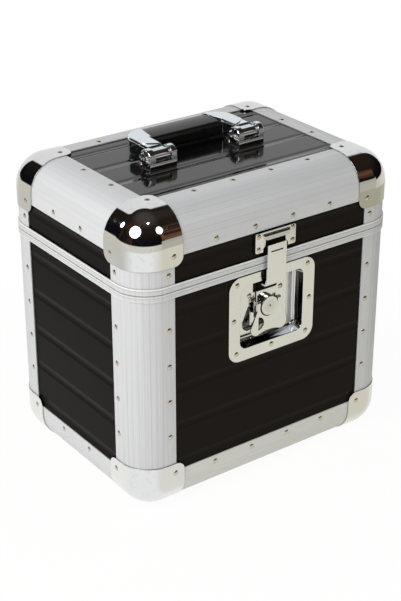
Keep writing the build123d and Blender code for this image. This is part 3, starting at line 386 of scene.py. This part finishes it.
def dish_bottom(g, xyz, level):
    """The level bottom of the well, in painted reflections: dark, grey at its left end and bright towards
    the right corner.
    """
    near = g.plus(xyz[0], g.times(g.minus(level, 0.5), 0.06))
    corner = g.times(g.smooth(near, 0.004, 0.022), g.smooth(level, 0.26, 0.4))
    left_end = g.times(g.smooth(xyz[0], -0.012, -0.034), g.smooth(level, 0.4, 0.62))
    tone = g.mix(g.smooth(level, 0.42, 0.6), rgb(8, 8, 14), rgb(52, 54, 70))
    tone = g.mix(left_end, tone, rgb(140, 140, 136))
    return g.mix(corner, tone, rgb(212, 219, 228)), corner


def dish_plate(name):
    """Nickel that is bright on its level faces, with painted shade and painted reflections on the walls
    and bottom of the well.
    """
    m, g, place, xyz = new_material(name)
    turned = facing(g)
    wave = pressed_waves(g, place)
    upright = g.streaks(place, 400.0, 400.0, 5.0, roughness=0.7)
    level = g.streaks(place, 16.0, 300.0, 400.0, roughness=0.7)
    side = g.absolute(turned[0])
    inside = g.band(xyz[1], *WELL_WALLS, 0.0004)
    soft = softened(g, 0.0004)

    # Painted shade and reflections on the well's walls: grey where they curve, near black on the left
    # wall.
    curve = g.times(g.smooth(side, 0.1, 0.25), g.smooth(side, 0.8, 0.6), inside)
    left = g.times(g.smooth(turned[0], 0.1, 0.25), inside)
    colour = g.mix(wave, rgb(214, 214, 209), rgb(221, 221, 218))
    colour = g.mix(g.times(curve, 0.65), colour, rgb(120, 121, 118))
    colour = g.mix(g.times(left, 0.75), colour, rgb(40, 39, 36))

    # Painted reflections: dark streaks on the walls that face sideways.
    streak = g.plus(upright, g.times(g.smooth(xyz[2], 0.188, 0.232), 0.1))
    dark = g.mix(g.smooth(streak, 0.44, 0.66), rgb(13, 13, 13), rgb(98, 98, 94))
    colour = g.mix(g.times(g.smooth(side, 0.9, 0.97), inside), colour, dark)
    # Painted reflections on the well's bottom, with a painted glint towards its right corner.
    base = g.times(g.smooth(turned[2], 0.86, 0.95), inside)
    bottom, corner = dish_bottom(g, xyz, level)
    colour = g.mix(base, colour, bottom)

    floor = g.smooth(xyz[1], *WELL_FLOOR)
    # Painted reflection: a pale band on the floor right of the wing, made matt so its colour shows.
    pale_reflection = g.times(floor, g.band(xyz[0], 0.0345, 0.0035, 0.0015), 0.55)
    colour = g.mix(pale_reflection, colour, rgb(206, 208, 210))
    # Painted shade: speckled dark on the floor behind the wing, and in the corners between pieces.
    behind_wing = g.times(g.band(xyz[0], -0.0035, 0.004, 0.002), g.band(xyz[2], 0.19, 0.007, 0.002))
    speckled_shade = g.plus(g.times(shade_speckle(g, place, 0.42, 0.56), 0.5), 0.4)
    colour = corner_shaded(g, g.mix(g.times(behind_wing, floor, speckled_shade), colour, rgb(22, 20, 16)))
    # Painted highlight on the edges.
    colour = g.mix(g.times(edge_mask(g, soft), 0.6), colour, rgb(240, 240, 238))

    rough = g.plus(g.times(g.smooth(upright, 0.4, 0.7), 0.08), 0.1)
    # The painted glint is made partly matt as well.
    matt_glint = g.times(base, corner, 0.7)
    metal = g.minus(1.0, g.math("MAXIMUM", matt_glint, pale_reflection))
    finish_metal(g, colour, rough, g.bump(wave, 0.00003, normal=soft), metal)
    return m


def strap_plate(name):
    """Nickel that is worn bright outside and painted near black as shade where it passes down into the
    well.
    """
    m, g, place, xyz = new_material(name)
    wave = pressed_waves(g, place)
    soft = softened(g, 0.0004)
    # Painted shade, rougher too, where the strap passes down into the well; painted shade also in the
    # corners between pieces.
    sunk_shade = g.times(g.smooth(xyz[1], *SUNK_STRAP_Y), g.smooth(xyz[2], *SUNK_STRAP_Z))
    colour = g.mix(wave, rgb(214, 214, 209), rgb(221, 221, 218))
    colour = corner_shaded(g, g.mix(sunk_shade, colour, rgb(16, 15, 14)))
    rough = g.plus(0.1, g.times(rub_marks(g, place), 0.05))
    rough = g.plus(rough, g.times(sunk_shade, 0.4))
    finish_metal(g, colour, rough, g.bump(wave, 0.00003, normal=soft))
    return m


def catch_plate(name):
    """Worn nickel, darker round the cam's centre mark, with painted shade on and behind the wing's lobes
    and round the disc.
    """
    m, g, place, xyz = new_material(name)
    turned = facing(g)
    wave = pressed_waves(g, place)
    soft = softened(g, 0.0004)
    out = g.minus(xyz[2], CAM_HEIGHT)
    centre = g.math("SQRT", g.plus(g.math("POWER", xyz[0], 2.0), g.math("POWER", out, 2.0)))

    colour = g.mix(wave, rgb(212, 212, 207), rgb(221, 221, 217))
    colour = g.mix(g.times(g.smooth(centre, 0.0125, 0.004), 0.3), colour, rgb(168, 162, 146))
    colour = g.mix(g.smooth(centre, 0.0014, 0.0007), colour, rgb(90, 72, 52))

    # Painted shade, speckled: the fronts of the wing's lobes and their backs go near black.
    bent = g.times(g.smooth(turned[1], -0.985, -0.94), g.smooth(xyz[2], *WING_LOBES))
    bent = g.times(bent, g.smooth(xyz[1], *WING_FRONT))
    behind = g.times(g.smooth(turned[1], 0.8, 0.95), g.smooth(xyz[2], *WING_BACK_LOBES))
    speckled_shade = g.plus(g.times(shade_speckle(g, place, 0.4, 0.55), 0.55), 0.3)
    colour = g.mix(g.times(g.math("MAXIMUM", bent, behind), speckled_shade), colour, rgb(26, 24, 20))

    # Painted shade on the disc's rim.
    rim = g.times(g.smooth(turned[1], -0.8, -0.6), g.band(centre, *DISC_RIM, 0.0003))
    rim = g.times(rim, g.smooth(xyz[1], *DISC_DEPTHS), 0.85)
    colour = g.mix(rim, colour, rgb(26, 24, 20))
    # Painted shadow: a dark arc on the plate beside the disc's lower left.
    lean = g.math("DIVIDE", g.plus(xyz[0], out), g.times(centre, -1.414))
    crescent_shadow = g.times(g.band(centre, *DISC_SHADE, 0.0003), g.smooth(lean, 0.55, 0.75))
    colour = g.mix(crescent_shadow, colour, rgb(14, 13, 12))
    # Painted shade in the corners between pieces.
    colour = corner_shaded(g, colour, (0.0024, 0.8, 0.3), 0.9, rgb(28, 26, 22))
    # Painted highlight on the edges.
    colour = g.mix(g.times(edge_mask(g, soft), 0.5), colour, rgb(242, 242, 240))

    rough = g.plus(0.1, g.times(rub_marks(g, place), 0.06))
    finish_metal(g, colour, rough, g.bump(wave, 0.00003, normal=soft))
    return m


def bracket_plate(name):
    """Chrome that is brushed matt on the front wall of each handle bracket and polished elsewhere, with
    painted light and shade low on the wall.
    """
    m, g, place, xyz = new_material(name)
    turned = facing(g)
    wave = pressed_waves(g, place)
    brushed = g.streaks(place, 40.0, 900.0, 1200.0)
    front = g.times(g.smooth(turned[1], -0.9, -0.98), g.smooth(xyz[1], *BRACKET_FRONT))
    soft = softened(g, 0.0004)
    rise = g.minus(xyz[2], TOP)
    brushed_and_painted_light = g.mix(brushed, rgb(128, 128, 125), rgb(188, 188, 184))
    # Painted highlight: a pale line low on the front wall; painted shade below it.
    brushed_and_painted_light = g.mix(g.band(rise, 0.0031, 0.0003, 0.0003), brushed_and_painted_light, rgb(240, 240, 238))
    brushed_and_painted_light = g.mix(g.smooth(rise, 0.0026, 0.0022), brushed_and_painted_light, rgb(14, 14, 14))
    # Painted shade in the corners between pieces.
    colour = corner_shaded(g, g.mix(front, g.mix(wave, rgb(230, 232, 234), rgb(222, 224, 226)), brushed_and_painted_light))
    # Painted highlight on the edges.
    colour = g.mix(g.times(edge_mask(g, soft), 0.6), colour, rgb(244, 244, 243))
    rough = g.plus(g.times(front, 0.24), g.plus(g.times(brushed, 0.06), 0.09))
    metal = g.minus(1.0, g.times(front, 0.5))
    finish_metal(g, colour, rough, g.bump(wave, 0.00004, normal=soft), metal)
    return m


def rivet_metal(name):
    """Plated rivet heads: warm grey, with painted shade in their hollows."""
    m, g, place, _ = new_material(name)
    cloud = g.noise(place, 260.0, 3.0, 0.6)
    soft = softened(g, 0.0004)
    colour = g.mix(cloud, rgb(176, 160, 138), rgb(222, 212, 196))
    # Painted shade in the hollows round the heads.
    colour = corner_shaded(g, colour, (0.002, 0.85, 0.45), 1.0, rgb(18, 15, 12))
    rough = g.plus(g.times(cloud, 0.12), 0.09)
    finish_metal(g, colour, rough, g.bump(cloud, 0.00004, 0.8, soft))
    return m


def moulded(name):
    """Black moulded plastic: fine spark texture and a few rubbed places."""
    m, g, place, xyz = new_material(name)
    grain = g.noise(place, 1600.0, 2.0)
    cloud = g.noise(place, 40.0, 3.0)
    soft = softened(g, 0.0008)
    rubbed = g.times(edge_mask(g, soft), g.smooth(cloud, 0.45, 0.65))
    colour = g.mix(rubbed, rgb(9, 9, 9), rgb(30, 29, 28))
    rough = g.plus(g.times(cloud, 0.1), 0.14)
    rough = g.plus(rough, g.times(g.smooth(xyz[1], *GRIP_HELD), 0.07))
    normal = g.bump(grain, 0.00002, 0.5, soft)
    settings = {"Base Color": colour, "Roughness": rough, "Normal": normal, "Specular IOR Level": 0.5}
    finish_material(g, settings)
    return m


def foam(name):
    """Closed-cell foam: small cells, soft dents."""
    m, g, place, _ = new_material(name)
    cells = g.add("TexVoronoi", {"Vector": place, "Scale": 700.0}, feature="F1").outputs[0]
    cloud = g.noise(place, 25.0, 4.0)
    colour = g.mix(cells, rgb(26, 26, 28), rgb(52, 52, 55))
    colour = g.mix(g.smooth(cloud, 0.4, 0.7), colour, rgb(40, 40, 43))
    normal = g.bump(cells, 0.00015, 0.7)
    normal = g.bump(cloud, 0.0006, 0.5, normal)
    settings = {"Base Color": colour, "Roughness": 0.9, "Normal": normal}
    settings |= {"Sheen Weight": 0.15, "Specular IOR Level": 0.2}
    finish_material(g, settings)
    return m


# ---- the CAD pieces' finishes -----------------------------------------------------------------------
def assign(names, material):
    for name in names:
        data = nodes[name].data
        data.materials.clear()
        data.materials.append(material)


def matching(*words):
    return [n for n in nodes if all(w in n for w in words)]


def dress_boards():
    long_tones = (rgb(24, 21, 17), rgb(28, 24, 20))
    # The left and right boards are painted darker than the front and back, as shade.
    shaded_side_tones = (rgb(15, 12, 10), rgb(19, 16, 13))
    for level, first_rib in FIRST_RIBS.items():
        for sides, tones in ((("front", "back"), long_tones), (("left", "right"), shaded_side_tones)):
            wall = laminate(f"laminate_{level}_{sides[0]}", 2, first_rib, RIB_PITCH, tones, 1.1, 0.32)
            assign([f"{level}_{side}_panel" for side in sides], wall)
    jet = (rgb(6, 6, 6), rgb(9, 8, 8))
    flat = laminate("laminate_top", 1, TOP_FIRST_RIB, TOP_RIB_PITCH, jet, 1.5, 0.1)
    assign(["lid_top_panel", "base_floor_panel"], flat)
    assign(["base_lining", "lid_lining"], foam("foam_board"))


def rim_lines():
    """The band's lines, painted shade and painted highlights: a height, a half width, a tone and its
    strength.
    """
    # Painted shade in the band's grooves and at the part line.
    dark = rgb(60, 60, 60)
    # Painted highlights on the band's lips.
    pale = rgb(244, 244, 242)
    return (
        (PART_LINE, 0.0006, dark, 0.6),
        (PART_LINE + 0.0052, 0.0003, dark, 0.22),
        (PART_LINE - 0.0030, 0.0003, dark, 0.22),
        (PART_LINE + 0.0071, 0.0005, pale, 0.75),
        (PART_LINE - 0.0016, 0.0004, pale, 0.3),
        (PART_LINE - 0.0072, 0.0003, pale, 0.4),
    )


def dress_profiles():
    silver = rgb(206, 207, 208)
    assign(matching("upright"), aluminium("aluminium_uprights", (0, 1), silver, 0.55))
    # The base's long edges get a lighter, warmer tint than the lid's: painted light from the floor.
    for level, tint in (("base", rgb(212, 213, 207)), ("lid", silver)):
        long_edges = [f"{level}_edge_profile_{side}" for side in ("front", "back")]
        assign(long_edges, aluminium(f"aluminium_{level}_long_edges", (1, 2), tint, 0.55, marked=0.6))
    short_edges = matching("edge_profile_left") + matching("edge_profile_right")
    assign(short_edges, aluminium("aluminium_short_edges", (0, 2), silver, 0.55, marked=0.4))
    assign(matching("rim_profile"), aluminium("aluminium_rims", (0, 1), silver, 0.5, rim_lines()))


def dress_fittings():
    assign(matching("_corner_"), corner_plate("chrome_corners"))
    assign(matching("handle_arm"), plated("chrome_handle", rgb(225, 233, 237), 0.12))
    assign(matching("handle_bracket"), bracket_plate("chrome_brackets"))
    assign(["handle_grip"], moulded("grip_plastic"))
    assign(["keeper_plate"], plated("nickel_keeper", rgb(222, 222, 219), 0.14))
    assign(["latch_wing", "latch_cam"], catch_plate("nickel_catch"))
    assign(["latch_dish"], dish_plate("nickel_dish"))
    assign(["latch_strap"], strap_plate("nickel_strap"))
    assign(matching("rivets") + ["handle_screws"], rivet_metal("plated_rivets"))
    assign(matching("hinge_leaf"), plated("zinc_hinges", rgb(206, 207, 200), 0.3))
    hidden = ["hinge_pins", "latch_bush", "latch_wing_pin"]
    hidden += ["handle_pivot_pins", "handle_grip_rod", "handle_backing_plates"]
    assign(hidden, plated("plain_steel", rgb(170, 170, 168), 0.35))


# ---- foam boards ------------------------------------------------------------------------------------
def grid_lines(low, high, extra=()):
    """Positions across a board: close together at its ends, about 9 mm apart between them."""
    end = GRID_ENDS[-1]
    span = high - low - 2 * end
    count = max(2, round(span / GRID_STEP))
    lines = {low + e for e in GRID_ENDS} | {high - e for e in GRID_ENDS} | set(extra)
    lines |= {low + end + span * i / count for i in range(1, count)}
    return sorted(lines)


def board_depths(u, v, spans, thick, seed):
    """How far the outer and inner faces stand from the glued side, with rims, a crown and dents."""
    edge = min(u - spans[0][0], spans[0][1] - u, v - spans[1][0], spans[1][1] - v)
    inset = FOAM_ROUND - math.sqrt(max(0.0, FOAM_ROUND**2 - max(0.0, FOAM_ROUND - edge) ** 2))
    across = [(2 * (w - span[0]) / (span[1] - span[0]) - 1) ** 4 for w, span in zip((u, v), spans)]
    crown = FOAM_CROWN * (1 - (1 - across[0]) * (1 - across[1]))
    dent = FOAM_DENT * (0.5 + 0.5 * noise.noise(Vector((u * 22.0, v * 22.0, seed))))
    return inset, thick - inset - (crown + dent) * min(1.0, edge / FOAM_ROUND)


def board_points(low, high, thin, inner, seed, pocket):
    """A board's points, the outer face's and the inner face's in turn, and its rows and columns."""
    axes = [a for a in range(3) if a != thin]
    spans = [(low[a], high[a]) for a in axes]
    extra = ((), ())
    if pocket:
        extra = [[edge + e for edge in side for e in POCKET_RIM] for side in pocket["spans"]]
    us, vs = [grid_lines(*span, extra=more) for span, more in zip(spans, extra)]
    glued = low[thin] if inner > 0 else high[thin]
    points = []
    for u in us:
        for v in vs:
            depths = list(board_depths(u, v, spans, high[thin] - low[thin], seed))
            if pocket and all(a < w < b for w, (a, b) in zip((u, v), pocket["spans"])):
                depths[0] = pocket["depth"]
            for depth in depths:
                point = [0.0, 0.0, 0.0]
                point[axes[0]], point[axes[1]] = u, v
                point[thin] = glued + inner * depth
                points.append(point)
    return points, len(us), len(vs)


def board_faces(columns, rows):
    """Quads of both faces and of the rim that joins them; point 2i is outer and 2i + 1 inner."""
    quads = []
    for side in (0, 1):
        for i in range(columns - 1):
            for j in range(rows - 1):
                ring = (i * rows + j, (i + 1) * rows + j, (i + 1) * rows + j + 1, i * rows + j + 1)
                quads.append([2 * k + side for k in ring])
    last = columns - 1
    rim = [i * rows for i in range(columns)] + [last * rows + j for j in range(1, rows)]
    rim += [i * rows + rows - 1 for i in range(last - 1, -1, -1)] + list(range(rows - 2, 0, -1))
    for a, b in zip(rim, rim[1:] + rim[:1]):
        quads.append([2 * a, 2 * b, 2 * b + 1, 2 * a + 1])
    return quads


def foam_board(name, node, low, high, thin, inner, seed, pocket=None):
    """One board as a closed form; thin is the axis across it, inner the side that faces the records."""
    points, columns, rows = board_points(low, high, thin, inner, seed, pocket)
    mesh = bpy.data.meshes.new(name)
    mesh.from_pydata(points, [], board_faces(columns, rows))
    shape = bmesh.new()
    shape.from_mesh(mesh)
    bmesh.ops.recalc_face_normals(shape, faces=shape.faces)
    shape.to_mesh(mesh)
    shape.free()
    mesh.polygons.foreach_set("use_smooth", [True] * len(mesh.polygons))
    board = bpy.data.objects.new(name, mesh)
    bpy.context.scene.collection.objects.link(board)
    board.data.materials.append(bpy.data.materials["foam_board"])
    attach(board, "case_base" if node == "base_lining" else "lid")
    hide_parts(node)


def make_padding():
    """Five boards in the base and five in the lid."""
    x, y = HALF_WIDTH - EDGE_RADIUS, HALF_DEPTH - EDGE_RADIUS
    walls = {
        "front": ((-x, -HALF_DEPTH + FOAM_FACE), (x, -HALF_DEPTH + FOAM_BACK), 1, 1),
        "back": ((-x, HALF_DEPTH - FOAM_BACK), (x, HALF_DEPTH - FOAM_FACE), 1, -1),
        "left": ((-HALF_WIDTH + FOAM_FACE, -y), (-HALF_WIDTH + FOAM_BACK, y), 0, 1),
        "right": ((HALF_WIDTH - FOAM_BACK, -y), (HALF_WIDTH - FOAM_FACE, y), 0, -1),
    }
    heights = {
        "base": (BOTTOM + EDGE_RADIUS, PART_LINE - FOAM_FROM_RIM),
        "lid": (PART_LINE + FOAM_FROM_RIM, TOP - EDGE_RADIUS),
    }
    well = {"spans": WELL_POCKET, "depth": WELL_POCKET_DEPTH}
    for level_seed, (level, z) in enumerate(heights.items()):
        for number, (side, (low, high, thin, inner)) in enumerate(walls.items()):
            pocket = well if (level, side) == ("base", "front") else None
            corners = ((*low, z[0]), (*high, z[1]))
            seed = level_seed * 9 + number
            foam_board(f"{level}_foam_{side}", f"{level}_lining", *corners, thin, inner, seed, pocket)
    floor = ((-x, -y, BOTTOM + FOAM_FACE), (x, y, BOTTOM + FOAM_BACK))
    foam_board("base_foam_floor", "base_lining", *floor, 2, 1, 31)
    roof = ((-x, -y, TOP - FOAM_BACK), (x, y, TOP - FOAM_FACE))
    foam_board("lid_foam_roof", "lid_lining", *roof, 2, -1, 32)


# ---- camera, light and floor ------------------------------------------------------------------------
def direction(azimuth, elevation):
    """A unit vector; azimuth 0 is towards -Y and 90 towards +X."""
    a, e = math.radians(azimuth), math.radians(elevation)
    return Vector((math.sin(a) * math.cos(e), -math.cos(a) * math.cos(e), math.sin(e)))


def place_looking(name, data, location, sight):
    """Links a camera or lamp that looks along the sight."""
    placed = bpy.data.objects.new(name, data)
    bpy.context.scene.collection.objects.link(placed)
    placed.location = location
    placed.rotation_mode = "QUATERNION"
    placed.rotation_quaternion = sight.to_track_quat("-Z", "Y")
    return placed


def make_camera():
    data = bpy.data.cameras.new("camera")
    data.sensor_width = 36.0
    data.lens = CAMERA_LENS
    data.clip_start = 0.05
    data.clip_end = 50.0
    bpy.context.scene.camera = place_looking("camera", data, CAMERA_PLACE, Vector(CAMERA_SIGHT))


def make_lamp(name, azimuth, elevation, distance, radius, power):
    data = bpy.data.lights.new(name, "AREA")
    data.shape = "DISK"
    data.size = radius * 2
    data.energy = power
    towards = direction(azimuth, elevation)
    place_looking(name, data, Vector(LAMP_AIM) + towards * distance, -towards)


def wall_colour(g, sight, x, y, z):
    """The dim room round the case as polished metal sees it: brown patches, a pale ground below."""
    turn = g.math("ARCTAN2", x, g.times(y, -1.0))
    patchy = g.streaks(sight, 6.0, 6.0, 1.2)
    right = g.times(g.band(turn, 0.60, 0.20, 0.05), g.smooth(z, 0.68, 0.5))
    left = g.times(g.band(turn, -1.75, 0.40, 0.1), g.smooth(patchy, 0.4, 0.6))
    horizon = g.times(g.band(turn, 0.60, 0.26, 0.04), g.band(z, 0.0, 0.06, 0.03))
    ground = g.mix(g.band(turn, 0.60, 0.26, 0.08), rgb(229, 226, 217), rgb(207, 204, 192))
    wall = g.mix(g.smooth(z, 0.15, 0.75), rgb(13, 13, 17), rgb(38, 30, 24))
    wall = g.mix(g.times(right, g.smooth(patchy, 0.35, 0.6)), wall, rgb(120, 82, 58))
    wall = g.mix(g.times(left, 0.6), wall, rgb(74, 50, 38))
    wall = g.mix(horizon, wall, rgb(194, 193, 186))
    return g.mix(g.smooth(z, -0.03, -0.06), wall, ground)


def make_world():
    """White to the camera. To metal: a white backdrop behind the case and a dim room elsewhere."""
    world = bpy.data.worlds.new("studio")
    bpy.context.scene.world = world
    world.use_nodes = True
    g = Graph(world.node_tree)
    ray = g.add("LightPath").outputs
    sight = g.add("TexCoord").outputs["Generated"]
    x, y, z = g.add("SeparateXYZ", {0: sight}).outputs
    level = g.math("SQRT", g.plus(g.times(x, x), g.times(y, y)))
    back = direction(149, 0)
    backward = g.plus(g.times(x, back.x), g.times(y, back.y))
    backward = g.math("DIVIDE", backward, g.math("MAXIMUM", level, 0.001))
    paper = g.times(g.smooth(backward, 0.745, 0.785), g.smooth(z, 0.76, 0.7))
    ceiling = g.mix(g.smooth(z, 0.82, 1.0), rgb(44, 40, 36), rgb(72, 66, 60))
    room = g.mix(g.smooth(z, 0.80, 0.84), wall_colour(g, sight, x, y, z), ceiling)
    seen = g.mix(paper, room, rgb(240, 240, 240))
    from_left = g.times(g.smooth(x, 0.1, -1.0), g.smooth(z, 0.9, 0.1))
    fill = g.mix(from_left, (0.5, 0.5, 0.5, 1.0), (1.5, 1.5, 1.5, 1.0))
    shiny = g.math("MAXIMUM", ray["Is Glossy Ray"], ray["Is Transmission Ray"])
    colour = g.mix(shiny, fill, seen)
    colour = g.mix(ray["Is Camera Ray"], colour, WHITE)
    g.add("OutputWorld", {"Surface": g.add("Background", {"Color": colour, "Strength": 1.0})})


def make_floor():
    """Pale paper. The camera sees it nearly white with a faint shadow, polished metal sees it pale."""
    place = (0.0, 0.0, FLOOR_HEIGHT)
    bpy.ops.mesh.primitive_circle_add(vertices=96, radius=1.0, fill_type="NGON", location=place)
    floor = bpy.context.object
    floor.name = "floor"
    material, g, place, xyz = new_material("floor_paper")
    ray = g.add("LightPath").outputs
    tone = g.mix(g.noise(place, 3.0), rgb(228, 226, 220), rgb(236, 234, 229))
    matt = g.add("BsdfDiffuse", {"Color": tone})
    reach = g.add("VectorMath", {0: place}, operation="LENGTH").outputs["Value"]
    far_back = g.times(g.smooth(reach, 0.35, 0.8), g.smooth(xyz[1], -0.35, 0.1))
    mirrored = g.mix(far_back, WHITE, rgb(222, 222, 220))
    mirrored = g.mix(g.smooth(xyz[0], -0.12, 0.16), mirrored, rgb(242, 240, 229))
    mirrored = g.mix(g.smooth(xyz[0], 0.38, 0.56), mirrored, rgb(190, 187, 170))
    glow = g.mix(ray["Is Camera Ray"], mirrored, WHITE)
    white = g.add("Emission", {"Color": glow, "Strength": 1.0})
    share = g.times(ray["Is Camera Ray"], g.smooth(reach, 0.25, 0.6, 0.95, 1.0))
    share = g.math("MAXIMUM", share, g.times(ray["Is Glossy Ray"], 0.95))
    mixed = g.add("MixShader", {0: share, 1: matt.outputs[0], 2: white.outputs[0]})
    g.add("OutputMaterial", {"Surface": mixed})
    floor.data.materials.append(material)


def make_studio():
    bpy.context.scene.view_settings.view_transform = "Standard"
    make_camera()
    make_world()
    make_floor()
    make_lamp("lamp_left", -75, 38, 1.6, 0.50, 20.0)
    make_lamp("lamp_right", 25, 36.6, 1.6, 0.30, 3.0)
    make_lamp("lamp_back", -139, 28.5, 1.8, 0.19, 3.0)
    make_lamp("lamp_small", -8, 69.8, 1.8, 0.06, 1.5)


dress_boards()
dress_profiles()
dress_fittings()
make_padding()
make_studio()
